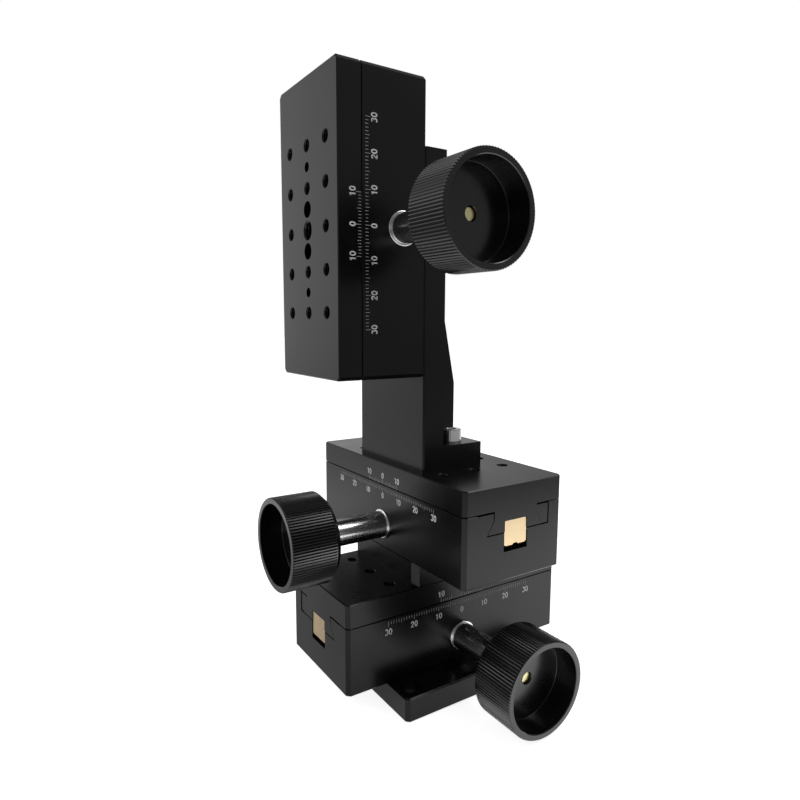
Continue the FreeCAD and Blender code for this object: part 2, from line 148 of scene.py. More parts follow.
class StageThreadSizes(bpy.types.PropertyGroup):
    """Sizes of the hole pattern and its threads."""
    pitch: length("Hole pitch", "Between neighbouring holes", 12.5)
    radius: length("Hole radius", "Of the table's threaded holes", 2.0)
    lead: length("Thread pitch", "Of the table's threaded holes", 0.7)
    centre_radius: length("Centre hole radius", "Of the hole in the table's middle", 3.0)
    centre_lead: length("Centre thread pitch", "Of the hole in the table's middle", 1.0)


class StageScaleSizes(bpy.types.PropertyGroup):
    """Sizes of the engraved millimetre scales."""
    reach: bpy.props.IntProperty(name="Reach", description="Millimetres each way from nought",
                                 default=30, min=10)
    line: length("Line width", "Width of a scale line", 0.14)
    short_line: length("Short line", "Each millimetre", 1.0)
    middle_line: length("Middle line", "Each fifth millimetre", 1.4)
    long_line: length("Long line", "Each tenth millimetre", 1.75)
    body_margin: length("Body margin", "From the body's edge to its lines", 0.95)
    table_margin: length("Table margin", "From the table's edge to its lines", 0.1)
    numeral: length("Numeral height", "Height of the numerals", 2.0)
    lower_level: length("Lower numeral level", "Lower body's numerals below the seam", 4.3)
    middle_level: length("Middle numeral level", "Middle body's numerals below the seam", 3.65)
    vertical_level: length("Vertical numeral level", "Vertical body's numerals below the seam", 3.9)
    table_level: length("Table numeral level", "Tables' numerals above the seam", 3.3)


class StageFinishes(bpy.types.PropertyGroup):
    """Colours and gloss of the finishes."""
    anodised: colour("Black anodised", "Plates, slides and knobs", (0.003, 0.003, 0.0031))
    anodised_rough: share("Anodised roughness", "Higher is duller", 0.27)
    anodised_shine: share("Anodised shine", "Strength of the mirrored light", 0.31)
    turned_rough: share("Turned roughness", "Of the knobs' black", 0.21)
    turned_shine: share("Turned shine", "Of the knobs' black", 0.58)
    steel: colour("Polished steel", "Sleeves, washers and bracket screws", (0.74, 0.74, 0.75))
    brass: colour("Brass", "Racks", (0.72, 0.56, 0.35))
    brass_shaft: colour("Shaft brass", "Pinion shafts", (0.96, 0.88, 0.48))
    blackened: colour("Blackened steel", "Hidden screws", (0.05, 0.05, 0.055))
    filling: colour("Numeral filling", "Paint in the engraved numerals", (0.86, 0.86, 0.86))
    line_filling: colour("Line filling", "Paint in the engraved lines", (0.5, 0.5, 0.5))


class StageStudio(bpy.types.PropertyGroup):
    """The floor, the light and the camera."""
    floor: share("Floor", "Paleness of the floor", 0.9)
    lift: share("Floor lift", "Added to the floor where the camera and the metal see it", 0.82)
    bright: bpy.props.FloatProperty(name="Bright side", description="Light from behind and left",
                                    default=1.18, min=0.0)
    dark: bpy.props.FloatProperty(name="Dark side", description="Light from the camera's side",
                                  default=0.46, min=0.0)


GROUPS = {
    "stage_knob": StageKnobSizes,
    "stage_thread": StageThreadSizes,
    "stage_scale": StageScaleSizes,
    "stage_finish": StageFinishes,
    "stage_studio": StageStudio,
}


def sizes(group):
    """A group's settings on the current scene."""
    return getattr(bpy.context.scene, group)


# Surfaces

WELD_REACH = 1e-7


def grid_faces(rows, columns, close_rows, close_columns):
    """Corner numbers of the four-sided faces between neighbouring points of a grid. A closed
    direction joins its last points to its first."""
    i = np.arange(rows if close_rows else rows - 1)
    j = np.arange(columns if close_columns else columns - 1)
    i, j = (part.ravel() for part in np.meshgrid(i, j, indexing="ij"))
    i_next, j_next = (i + 1) % rows, (j + 1) % columns
    return np.stack((i * columns + j, i * columns + j_next,
                     i_next * columns + j_next, i_next * columns + j), axis=1)


def enclosed(points, faces):
    """Six times the signed volume inside the faces: positive when they point outwards."""
    a, b, c, d = (points[faces[:, k]] for k in range(4))
    return (np.einsum("ij,ij->", a, np.cross(b, c)) + np.einsum("ij,ij->", a, np.cross(c, d)))


def skin(name, grids, close_rows=True, close_columns=True, crease=35.0, weld=False):
    """One mesh object from grids of points (rows, columns, 3) in metres. Each grid is one
    closed surface whose faces are turned outwards. The UV map holds the place along the
    columns, from 0 to 1, and the distance along the rows in millimetres."""
    points, faces, uvs, start = [], [], [], 0
    for grid in grids:
        rows, columns = grid.shape[:2]
        flat = grid.reshape(-1, 3)
        ring = grid_faces(rows, columns, close_rows, close_columns)
        steps = np.linalg.norm(np.diff(grid[:, 0], axis=0), axis=1)
        run = np.concatenate(([0.0], np.cumsum(steps))) / MM
        i, j = ring[:, 0] // columns, ring[:, 0] % columns
        across = np.stack((j, j + 1, j + 1, j), axis=1) / columns
        last = run[-1] + np.linalg.norm(grid[-1, 0] - grid[0, 0]) / MM
        ahead = np.where(i + 1 < rows, run[(i + 1) % rows], last)
        along = np.stack((run[i], run[i], ahead, ahead), axis=1)
        corner_uv = np.stack((across, along), axis=2)
        if enclosed(flat - flat.mean(axis=0), ring) < 0:
            ring, corner_uv = ring[:, ::-1], corner_uv[:, ::-1]
        points.append(flat)
        faces.append(ring + start)
        uvs.append(corner_uv)
        start += len(flat)
    points, faces, uvs = (np.concatenate(part) for part in (points, faces, uvs))
    mesh = bpy.data.meshes.new(name)
    mesh.vertices.add(len(points))
    mesh.vertices.foreach_set("co", points.astype(np.float32).ravel())
    mesh.loops.add(faces.size)
    mesh.loops.foreach_set("vertex_index", faces.astype(np.int32).ravel())
    mesh.polygons.add(len(faces))
    mesh.polygons.foreach_set("loop_start", np.arange(0, faces.size, 4, dtype=np.int32))
    layer = mesh.uv_layers.new(name="place")
    layer.uv.foreach_set("vector", uvs.astype(np.float32).ravel())
    mesh.update(calc_edges=True)
    mesh.validate()
    if weld:
        shape = bmesh.new()
        shape.from_mesh(mesh)
        bmesh.ops.remove_doubles(shape, verts=shape.verts, dist=WELD_REACH)
        shape.to_mesh(mesh)
        shape.free()
    mesh.polygons.foreach_set("use_smooth", np.ones(len(mesh.polygons), bool))
    mesh.set_sharp_from_angle(angle=math.radians(crease))
    obj = bpy.data.objects.new(name, mesh)
    bpy.context.scene.collection.objects.link(obj)
    return obj


def outfit(obj, body, slot, nodes=(), look=None):
    """Give a new piece its body, the finish of its slot or another look, and the nodes it
    stands for."""
    obj.data.materials.append(finish(look or slot))
    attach(obj, body)
    if nodes:
        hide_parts(*nodes)


def rounded(profile, corner, radius, steps=6):
    """A profile with one corner replaced by an arc: equal angles from the tangent point before
    the corner to the one after it, for a right angle between the two runs."""
    before, point, after = (np.array(profile[k], float) for k in (corner - 1, corner, corner + 1))
    back = (before - point) / np.linalg.norm(before - point)
    ahead = (after - point) / np.linalg.norm(after - point)
    centre = point + (back + ahead) * radius
    angles = np.linspace(0, math.pi / 2, steps)
    turned = np.cos(angles)[:, None] * ahead + np.sin(angles)[:, None] * back
    return profile[:corner] + [tuple(p) for p in centre - radius * turned] + profile[corner + 1:]


def divided(profile, step):
    """A closed profile with its long runs cut into pieces of about one step."""
    points = np.array(profile + [profile[0]], float)
    runs = []
    for a, b in zip(points[:-1], points[1:]):
        count = max(1, int(round(np.linalg.norm(b - a) / step)))
        runs.append(a + (b - a) * (np.arange(count) / count)[:, None])
    return np.concatenate(runs)


def around(along, radius, columns):
    """A surface of revolution about the pinion's axis, in a slide's own frame. A point at
    angle t lies at (radius sin t, along, level + radius cos t). Radius may vary with t."""
    t = np.arange(columns) / columns * TURN
    radius = np.broadcast_to(radius, (len(along), columns))
    return np.stack((radius * np.sin(t), np.broadcast_to(along[:, None], radius.shape),
                     PINION_LEVEL + radius * np.cos(t)), axis=2)


# Finishes

# The ending keeps a finish apart from the frame's own plain material of the same slot.
FINISH = "_finish"
# Noise seldom leaves this range, which the finishes spread over their own values.
NOISE_LOW, NOISE_HIGH = 0.3, 0.7
# A mapping that draws noise out into rings round a turned piece, and into marks along a bar.
RINGS = (0.02, 1.0, 1.0)
MARKS = (0.08, 1.0, 1.0)


class Recipe:
    """A material's node tree, with short calls for the nodes that the finishes share."""

    def __init__(self, name):
        self.material = bpy.data.materials.new(name + FINISH)
        self.material.use_nodes = True
        self.tree = self.material.node_tree
        self.shader = self.tree.nodes["Principled BSDF"]
        self.output = self.tree.nodes["Material Output"]

    def node(self, kind, **values):
        """A node of this kind with these settings and input values."""
        made = self.tree.nodes.new(kind)
        for key, value in values.items():
            if hasattr(made, key):
                setattr(made, key, value)
            else:
                made.inputs[key.replace("_", " ")].default_value = value
        return made

    def join(self, source, output, target, input_name):
        """A link between two nodes by their sockets' names."""
        self.tree.links.new(source.outputs[output], target.inputs[input_name])

    def grain(self, scale, detail, space="Object", stretch=(1, 1, 1)):
        """Noise over the piece's own coordinates, stretched where the finish has a direction."""
        where = self.node("ShaderNodeTexCoord")
        turned = self.node("ShaderNodeMapping", Scale=stretch)
        noise = self.node("ShaderNodeTexNoise", Scale=scale, Detail=detail)
        self.join(where, space, turned, "Vector")
        self.join(turned, "Vector", noise, "Vector")
        return noise

    def spread(self, source, low, high):
        """Noise turned into values between low and high."""
        ranged = self.node("ShaderNodeMapRange", From_Min=NOISE_LOW, From_Max=NOISE_HIGH,
                           To_Min=low, To_Max=high)
        self.join(source, "Fac", ranged, "Value")
        return ranged

    def tint(self, source, base, low, high):
        """The base colour, darkened and lightened by noise between two factors."""
        shades = self.node("ShaderNodeValToRGB")
        first, second = shades.color_ramp.elements
        first.position, second.position = NOISE_LOW, NOISE_HIGH
        first.color = tuple(c * low for c in base) + (1,)
        second.color = tuple(min(1.0, c * high) for c in base) + (1,)
        self.join(source, "Fac", shades, "Fac")
        self.join(shades, "Color", self.shader, "Base Color")

    def relief(self, source, depth, strength, below=None):
        """Fine relief of this depth in metres, on top of another relief."""
        bump = self.node("ShaderNodeBump", Distance=depth, Strength=strength)
        self.join(source, "Fac", bump, "Height")
        if below:
            self.join(below, "Normal", bump, "Normal")
        return bump

    def roughen(self, source, low, high):
        """Roughness that follows noise between low and high."""
        self.join(self.spread(source, low, high), "Result", self.shader, "Roughness")

    def emboss(self, relief):
        """The finished relief, given to the shader."""
        self.join(relief, "Normal", self.shader, "Normal")


def anodised_finish(name, turned=False):
    """Satin black anodised aluminium: a fine blasted grain, faint clouds in the dye, and gloss
    that varies a little. A turned piece has fine rings from the lathe as well."""
    settings = sizes("stage_finish")
    shine = settings.turned_shine if turned else settings.anodised_shine
    rough = settings.turned_rough if turned else settings.anodised_rough
    recipe = Recipe(name)
    recipe.shader.inputs["Specular IOR Level"].default_value = shine
    clouds = recipe.grain(scale=90.0, detail=3.0)
    recipe.tint(clouds, settings.anodised, low=0.85, high=1.15)
    gloss = recipe.grain(scale=35.0, detail=4.0)
    recipe.roughen(gloss, low=rough - 0.03, high=rough + 0.04)
    blasted = recipe.grain(scale=5200.0, detail=2.0)
    relief = recipe.relief(blasted, depth=6e-6, strength=0.35)
    if turned:
        rings = recipe.grain(scale=7.0, detail=2.0, space="UV", stretch=RINGS)
        relief = recipe.relief(rings, depth=5e-6, strength=0.5, below=relief)
    recipe.emboss(relief)
    return recipe.material


def turned_finish(name):
    """The black finish with lathe rings, for the knobs."""
    return anodised_finish(name, turned=True)


def steel_finish(name):
    """Polished steel: fine rings from the lathe, bright and dull by turns, and thin smears."""
    recipe = Recipe(name)
    recipe.shader.inputs["Metallic"].default_value = 1.0
    smears = recipe.grain(scale=140.0, detail=4.0)
    recipe.tint(smears, sizes("stage_finish").steel, low=0.92, high=1.05)
    rings = recipe.grain(scale=9.0, detail=1.0, space="UV", stretch=RINGS)
    recipe.roughen(rings, low=0.2, high=0.26)
    return recipe.material


def brass_finish(name):
    """Machined brass: cutter marks across the piece, a fine grain and slight tarnish. The shafts
    are of a yellower brass than the racks."""
    recipe = Recipe(name)
    recipe.shader.inputs["Metallic"].default_value = 1.0
    tarnish = recipe.grain(scale=260.0, detail=4.0)
    recipe.tint(tarnish, getattr(sizes("stage_finish"), name), low=0.9, high=1.08)
    recipe.roughen(tarnish, low=0.3, high=0.42)
    marks = recipe.grain(scale=2400.0, detail=2.0, stretch=MARKS)
    fine = recipe.grain(scale=6000.0, detail=1.0)
    cut = recipe.relief(marks, depth=5e-6, strength=0.35)
    recipe.emboss(recipe.relief(fine, depth=4e-6, strength=0.3, below=cut))
    return recipe.material


def blackened_finish(name):
    """Blackened steel screws: dark, oily and a little uneven."""
    recipe = Recipe(name)
    recipe.shader.inputs["Metallic"].default_value = 0.85
    oil = recipe.grain(scale=420.0, detail=3.0)
    recipe.tint(oil, sizes("stage_finish").blackened, low=0.8, high=1.3)
    recipe.roughen(oil, low=0.32, high=0.46)
    fine = recipe.grain(scale=5200.0, detail=2.0)
    recipe.emboss(recipe.relief(fine, depth=4e-6, strength=0.3))
    return recipe.material


def filling_finish(name):
    """White paint rubbed into engraving: chalky, worn thin here and there. The fine lines hold
    less of it than the numerals."""
    recipe = Recipe(name)
    wear = recipe.grain(scale=900.0, detail=4.0)
    recipe.tint(wear, getattr(sizes("stage_finish"), name), low=0.7, high=1.15)
    recipe.roughen(wear, low=0.62, high=0.8)
    fine = recipe.grain(scale=4200.0, detail=2.0)
    recipe.emboss(recipe.relief(fine, depth=5e-6, strength=0.4))
    return recipe.material


FINISHES = {
    "black_anodised": anodised_finish,
    "black_anodised_turned": turned_finish,
    "polished_steel": steel_finish,
    "brass": brass_finish,
    "brass_shaft": brass_finish,
    "blackened_steel": blackened_finish,
    "filling": filling_finish,
    "line_filling": filling_finish,
}


def finish(name):
    """A finish by its name, made at its first use."""
    material = bpy.data.materials.get(name + FINISH)
    return material if material else FINISHES[name](name)


# Pieces


class STAGE_OT_finish_solids(bpy.types.Operator):
    """Give each solid of the frame the finish of its slot"""
    bl_idname = "stage.finish_solids"
    bl_label = "Finish the solids"

    def execute(self, context):
        for part in frame["record"]["subparts"]:
            mesh = frame["nodes"][part["node"]].data
            mesh.materials.clear()
            shaft = part["node"].endswith("_pinion_shaft")
            mesh.materials.append(finish("brass_shaft" if shaft else part["material_slot"]))
        return {"FINISHED"}


# Knobs, in millimetres. Steps are the lengths that a profile is cut into, and the land is a share
# of the pitch of the grooves.
SHAFT_RADIUS = 2.0
BORE_GAP = 0.02
GRIP_STEP = 0.16
PLAIN_STEP = 2.2
KNURL_COLUMNS = 8
KNURL_LAND = 0.3
GRUB_HOLE = 1.5
GRUB_EDGE = 0.12
GRUB_REACH = 1.8
TOLERANCE = 1e-6


def knob_profile(size):
    """The knob's half section as (along, radius): bore, back, chamfer, grip, rim, cup wall with
    its fillet, and cup floor."""
    radius = size.diameter / MM / 2
    cup, fillet = radius - size.wall / MM, size.cup_fillet / MM
    back_ease, rim_ease, cup_ease = size.back_ease / MM, size.rim_ease / MM, size.cup_ease / MM
    back, front = KNOB_HIGH[1], KNOB_LOW[1]
    floor = front + size.cup_depth / MM
    bore = SHAFT_RADIUS + BORE_GAP
    profile = [(back, bore), (back, radius - back_ease), (back - back_ease, radius),
               (front + rim_ease, radius), (front, radius - rim_ease), (front, cup + cup_ease),
               (front + cup_ease, cup), (floor, cup), (floor, bore)]
    return rounded(profile, len(profile) - 2, fillet)


def knob_rows(size, middle):
    """The profile cut finely where its chamfers and the grub screw's hole need it, and coarsely
    elsewhere: two nested cuts of the grip, at the hole's reach and at the chamfers."""
    profile = knob_profile(size)
    grip = [(middle + GRUB_REACH, profile[2][1]), (middle - GRUB_REACH, profile[2][1])]
    corners = profile[:3] + grip + profile[3:]
    rows = []
    for k, (a, b) in enumerate(zip(corners, corners[1:] + corners[:1])):
        a, b = np.array(a), np.array(b)
        step = GRIP_STEP if k in (1, 3, 5) else PLAIN_STEP
        count = max(1, int(round(np.linalg.norm(b - a) / step)))
        rows.append(a + (b - a) * (np.arange(count) / count)[:, None])
    return np.concatenate(rows)


def knob_surface(size):
    """The knob as radius(angle, along). The grip's radius falls from its lands to its grooves:
    with f the distance from the nearest land's middle as a share of the groove pitch, the drop
    is depth times (f - land / 2) / (0.5 - land / 2), kept between 0 and depth, and the chamfers
    cut the lands. Round the grub screw the radius falls to the screw's head, over a narrow edge."""
    middle = (GRUB_LOW[1] + GRUB_HIGH[1]) / 2
    profile = knob_rows(size, middle)
    along, radius = profile[:, 0], profile[:, 1]
    columns = size.knurl_count * KNURL_COLUMNS
    outer, depth = size.diameter / MM / 2, size.knurl_depth / MM
    share_of_pitch = (np.arange(columns) % KNURL_COLUMNS) / KNURL_COLUMNS
    f = np.minimum(share_of_pitch, 1 - share_of_pitch)
    drop = np.clip((f - KNURL_LAND / 2) / (0.5 - KNURL_LAND / 2), 0, 1) * depth
    grip = radius > outer - depth + TOLERANCE
    radius = radius[:, None]
    table = np.where(grip[:, None], np.minimum(radius, outer - drop[None, :]), radius)
    t = np.arange(columns) / columns * TURN
    arc = (np.mod(t, TURN) - math.pi) * outer
    away = np.hypot(arc[None, :], (along - middle)[:, None])
    sunk = np.clip((GRUB_HOLE + GRUB_EDGE / 2 - away) / GRUB_EDGE, 0, 1)
    sunk = np.where(grip[:, None], sunk, 0.0)
    head = PINION_LEVEL - GRUB_LOW[2] - BORE_GAP
    return along, table * (1 - sunk) + head * sunk, columns


class STAGE_OT_knobs(bpy.types.Operator):
    """Turn and knurl the three cup knobs"""
    bl_idname = "stage.knobs"
    bl_label = "Cup knobs"

    def execute(self, context):
        along, radius, columns = knob_surface(sizes("stage_knob"))
        surface = around(along, radius, columns)
        for slide in SLIDES:
            knob = skin(slide + "_cup_knob", [seat(surface, slide)], crease=28.0)
            outfit(knob, KNOB_OF[slide], "black_anodised", [slide + "_knob"],
                   look="black_anodised_turned")
        return {"FINISHED"}


# Sleeves and washers, in millimetres
ROUND_COLUMNS = 160
SECTION_STEP = 1.0
SLEEVE_RADIUS = 4.6
SLEEVE_EASE = 0.4
NECK_LENGTH = 2.6
NECK_RADIUS = 4.0
FLANGE_EASE = 0.3
FLANGE_THICKNESS = 0.8
WASHER_EASE = 0.12
RUNNING_GAP = 0.05


def sleeve_profile():
    """The sleeve's half section: bore, neck at the knob, eased barrel, thin flange with a rounded
    edge, and seat."""
    outer, inner = SLEEVE_LOW[1], SLEEVE_HIGH[1]
    face = BODY_LOW[1]
    flange = (SLEEVE_HIGH[0] - SLEEVE_LOW[0]) / 2
    bore = SHAFT_RADIUS + RUNNING_GAP
    neck = outer + NECK_LENGTH
    front = face - FLANGE_THICKNESS
    profile = [(outer, bore), (outer, NECK_RADIUS), (neck, NECK_RADIUS),
               (neck, SLEEVE_RADIUS - SLEEVE_EASE), (neck + SLEEVE_EASE, SLEEVE_RADIUS),
               (front, SLEEVE_RADIUS), (front, flange), (face, flange), (face, NECK_RADIUS),
               (inner, NECK_RADIUS), (inner, bore)]
    return rounded(profile, profile.index((front, flange)), FLANGE_EASE)


def washer_profile():
    """The thrust washer's half section, with eased outer edges."""
    start, end = WASHER_LOW[1], WASHER_HIGH[1]
    outer = (WASHER_HIGH[0] - WASHER_LOW[0]) / 2
    bore = SHAFT_RADIUS + RUNNING_GAP
    return [(start, bore), (start, outer - WASHER_EASE), (start + WASHER_EASE, outer),
            (end - WASHER_EASE, outer), (end, outer - WASHER_EASE), (end, bore)]


class STAGE_OT_sleeves(bpy.types.Operator):
    """Turn the polished bearing sleeves and their thrust washers"""
    bl_idname = "stage.sleeves"
    bl_label = "Sleeves and washers"

    def execute(self, context):
        for piece, profile, bodies in (("sleeve", sleeve_profile(), BODY_OF),
                                       ("washer", washer_profile(), KNOB_OF)):
            section = divided(profile, SECTION_STEP)
            surface = around(section[:, 0], section[:, 1:], ROUND_COLUMNS)
            for slide in SLIDES:
                ring = skin("polished_" + piece + "_" + slide, [seat(surface, slide)])
                outfit(ring, bodies[slide], "polished_steel", [slide + "_" + piece])
        return {"FINISHED"}


# Bracket screws, in millimetres. The socket is a hexagon, 3 mm across its flats, that opens in two
# small eases at its mouth and ends in a cone.
SCREW_HEAD_RADIUS = 3.5
SCREW_HEAD_HEIGHT = 4.0
SCREW_SHANK_RADIUS = 1.95
SCREW_SOCKET = 3.0
SCREW_CONE = 0.4
SCREW_CONE_SHARE = 0.98
SCREW_MOUTH = ((0.15, 0.05), (0.22, 0.0))
SCREW_EASE = 0.35
SCREW_RIBS_END = 0.3
SCREW_COLLAR = 0.2
SCREW_COLUMNS = 144
SCREW_GROOVES = 36
SCREW_GROOVE_DEPTH = 0.07


def hexagon_reach(t, across_flats):
    """Distance from a hexagon's middle to its side at angle t: half the width across flats over
    the cosine of the angle from the nearest flat's middle."""
    return across_flats / 2 / np.cos(np.mod(t + math.pi / 6, math.pi / 3) - math.pi / 6)


def cap_screw(x, y, top, bottom):
    """A socket cap screw as rows from the socket's floor, up its hexagon, over the head and down
    the shank, in metres. The head's side is ribbed: its radius is less by a raised cosine."""
    t = np.arange(SCREW_COLUMNS) / SCREW_COLUMNS * TURN
    hexagon = hexagon_reach(t, SCREW_SOCKET)
    ribs = SCREW_GROOVE_DEPTH * (1 - np.cos(SCREW_GROOVES * t)) / 2
    plain = np.zeros_like(t)
    ribbed, full = SCREW_HEAD_RADIUS - ribs, plain + SCREW_HEAD_RADIUS
    socket_floor, seat_level = top - SCREW_HEAD_HEIGHT / 2, top - SCREW_HEAD_HEIGHT
    rows = [(plain, socket_floor - SCREW_CONE), (hexagon * SCREW_CONE_SHARE, socket_floor),
            (hexagon, top - SCREW_EASE)]
    rows += [(hexagon + wider, top - deep) for wider, deep in SCREW_MOUTH]
    rows += [(full - SCREW_EASE, top), (full - SCREW_EASE / 3, top - SCREW_EASE / 3),
             (ribbed, top - SCREW_EASE), (ribbed, seat_level + SCREW_RIBS_END),
             (full, seat_level + SCREW_COLLAR), (full, seat_level),
             (plain + SCREW_SHANK_RADIUS, seat_level), (plain + SCREW_SHANK_RADIUS, bottom),
             (plain, bottom)]
    radius = np.stack([row[0] for row in rows])
    level = np.broadcast_to(np.array([row[1] for row in rows])[:, None], radius.shape)
    return np.stack((x + radius * np.cos(t), y + radius * np.sin(t), level), axis=2) * MM


class STAGE_OT_bracket_screws(bpy.types.Operator):
    """Turn the bright cap screws on the bracket's foot"""
    bl_idname = "stage.bracket_screws"
    bl_label = "Bracket screws"

    def execute(self, context):
        x = (SCREWS_LOW[0] + SCREWS_HIGH[0]) / 2
        reach = SCREWS_HIGH[1] - SCREW_HEAD_RADIUS
        screws = [cap_screw(x, y, SCREWS_HIGH[2], SCREWS_LOW[2]) for y in (-reach, reach)]
        obj = skin("bright_cap_screws", screws, close_rows=False, weld=True)
        outfit(obj, "middle_carriage", "polished_steel", ["bracket_screws"])
        return {"FINISHED"}


# Threads, in millimetres. Depth is a share of the thread's pitch, and the root is a share of that
# depth, which keeps the lining off the hole's wall.
THREAD_COLUMNS = 24
THREAD_ROWS_PER_TURN = 4
THREAD_DEPTH_SHARE = 0.54
THREAD_ROOT_SHARE = 0.25
THREAD_GAP = 0.01
THREAD_END_GAP = 0.4
HOLE_EASE = 0.4


def thread(radius, lead, depth, u, v, top):
    """A threaded lining for a hole that starts at level top. At angle t and depth d the phase is
    d / lead - t / turn; the ridge rises with the distance of the phase from a whole number, and
    it fades in over the hole's eased mouth. The lining is closed by a plain wall behind it."""
    t = np.arange(THREAD_COLUMNS) / THREAD_COLUMNS * TURN
    rows = int(depth / lead * THREAD_ROWS_PER_TURN)
    d = np.linspace(0.0, depth, rows)[:, None]
    phase = np.mod(d / lead - t / TURN, 1.0)
    ridge = 1 - np.abs(2 * phase - 1)
    rise = lead * THREAD_DEPTH_SHARE
    mouth = np.clip((d - THREAD_GAP) / HOLE_EASE, 0, 1)
    root = THREAD_ROOT_SHARE + (1 - THREAD_ROOT_SHARE) * ridge
    inner = radius - THREAD_GAP - rise * mouth * root
    wall = np.full((1, THREAD_COLUMNS), radius - THREAD_GAP / 2)
    reach = np.concatenate((wall, inner, wall))
    level = np.concatenate((d[:1], d, d[-1:])) + THREAD_GAP
    return np.stack((u + reach * np.cos(t), v + reach * np.sin(t),
                     np.broadcast_to(top - level, reach.shape)), axis=2)


def hole_spots(pitch, taken):
    """The table's threaded holes as (u, v): two outer columns of five, and two holes each side
    of the middle in the centre column, less the taken ones."""
    spots = [(row * pitch, side * pitch) for row in range(-2, 3) for side in (-1, 1)]
    spots += [(side * row * pitch, 0.0) for row in (1, 2) for side in (-1, 1)]
    return [spot for spot in spots if spot not in taken]


class STAGE_OT_threads(bpy.types.Operator):
    """Cut the threads in the three tables' holes"""
    bl_idname = "stage.threads"
    bl_label = "Threads"

    def execute(self, context):
        size = sizes("stage_thread")
        pitch, radius, centre = (round(value / MM, 4) for value in
                                 (size.pitch, size.radius, size.centre_radius))
        depth = TABLE_TOP - BODY_HIGH[2] - THREAD_END_GAP
        column = [(side * pitch, 0.0) for side in (-1, 1)]
        row = [(0.0, side * pitch) for side in (-1, 1)]
        taken = {"lower": column + row, "middle": column, "vertical": []}
        for slide in SLIDES:
            linings = [thread(radius, size.lead / MM, depth, u, v, TABLE_TOP)
                       for u, v in hole_spots(pitch, taken[slide])]
            linings.append(thread(centre, size.centre_lead / MM, depth, 0.0, 0.0, TABLE_TOP))
            obj = skin(slide + "_table_threads", [seat(lining, slide) for lining in linings],
                       crease=80.0)
            outfit(obj, TABLE_OF[slide], "black_anodised")
        return {"FINISHED"}


# Scales. A numeral's box is one high; its width, advance and stroke are shares of that height.
DIGIT_WIDTH = 0.6
DIGIT_ADVANCE = 0.74
STROKE = 0.19
SCALE_RISE = 0.02
SCALE_SINK = 0.03
SEAM_GAP = 0.3
NUMBERED_STEP = 10
VERNIER_REACH = 10
VERNIER_STEP = 0.9


def arc(x, y, radius, start, end, count=9):
    """Points of a round stroke about (x, y), between two angles in degrees."""
    t = np.radians(np.linspace(start, end, count))
    return np.stack((x + radius * np.cos(t), y + radius * np.sin(t)), axis=1)


def digit(mark):
    """A numeral's strokes as runs of points, in its box."""
    if mark == "0":
        t = np.linspace(0, TURN, 25)
        return [np.stack((0.3 + 0.24 * np.cos(t), 0.5 + 0.44 * np.sin(t)), axis=1)]
    if mark == "1":
        return [np.array(((0.12, 0.72), (0.36, 0.94))), np.array(((0.36, 1.0), (0.36, 0.0)))]
    if mark == "2":
        bow = np.concatenate((arc(0.3, 0.7, 0.23, 170, -30, 9), np.array(((0.07, 0.07),))))
        return [bow, np.array(((0.02, 0.06), (0.58, 0.06)))]
    upper = np.concatenate((arc(0.29, 0.73, 0.21, 155, -80, 9), np.array(((0.22, 0.53),))))
    lower = np.concatenate((np.array(((0.22, 0.53),)), arc(0.29, 0.29, 0.24, 75, -155, 10)))
    return [upper, lower]


def ribbon(path, width):
    """A flat bar that follows a path in the scale's plane: each point is moved half the width
    to both sides, square to the path. Rows are the path's points and columns the bar's four
    corners, and a row drawn to a point closes each end."""
    path = np.asarray(path, float)
    course = np.gradient(path, axis=0)
    course /= np.linalg.norm(course, axis=1)[:, None]
    side = np.stack((-course[:, 1], course[:, 0]), axis=1) * width / 2
    left, right = path + side, path - side
    high, low = np.full(len(path), SCALE_RISE), np.full(len(path), -SCALE_SINK)
    corners = [np.column_stack((edge, level)) for edge, level in
               ((left, high), (right, high), (right, low), (left, low))]
    bar = np.stack(corners, axis=1)
    ends = [np.broadcast_to(bar[k].mean(axis=0), (1, 4, 3)) for k in (0, -1)]
    return np.concatenate((ends[0], bar, ends[1]))


def numeral(text, centre_u, centre_w, height):
    """A number's bars, centred at a place on the slide's side."""
    width = DIGIT_ADVANCE * (len(text) - 1) + DIGIT_WIDTH
    bars = []
    for place, mark in enumerate(text):
        corner = (place * DIGIT_ADVANCE - width / 2, -0.5)
        for stroke in digit(mark):
            path = (stroke + corner) * height + (centre_u, centre_w)
            bars.append(ribbon(path, STROKE * height))
    return bars


def numerals(reach, spacing, level, height):
    """The numbers of a scale, each tenth step from nought to its reach on both sides."""
    bars = []
    for k in range(-reach, reach + 1, NUMBERED_STEP):
        bars += numeral(str(abs(k)), k * spacing, level, height)
    return bars


def scale_lines(size, steps, spacing, start, direction):
    """The lines of a scale: one each step of spacing, longer at each fifth and tenth step."""
    bars = []
    for k in range(-steps, steps + 1):
        reach = size.short_line
        if k % NUMBERED_STEP == 0:
            reach = size.long_line
        elif k % (NUMBERED_STEP // 2) == 0:
            reach = size.middle_line
        u = k * spacing
        bars.append(ribbon(((u, start), (u, start + direction * reach / MM)), size.line / MM))
    return bars


def on_side(bars, slide):
    """Bars laid on the slide's knob side: (u, w, rise) becomes (u, side - rise, w)."""
    face = BODY_LOW[1]
    return [seat(np.stack((bar[..., 0], face - bar[..., 2], bar[..., 1]), axis=2), slide)
            for bar in bars]


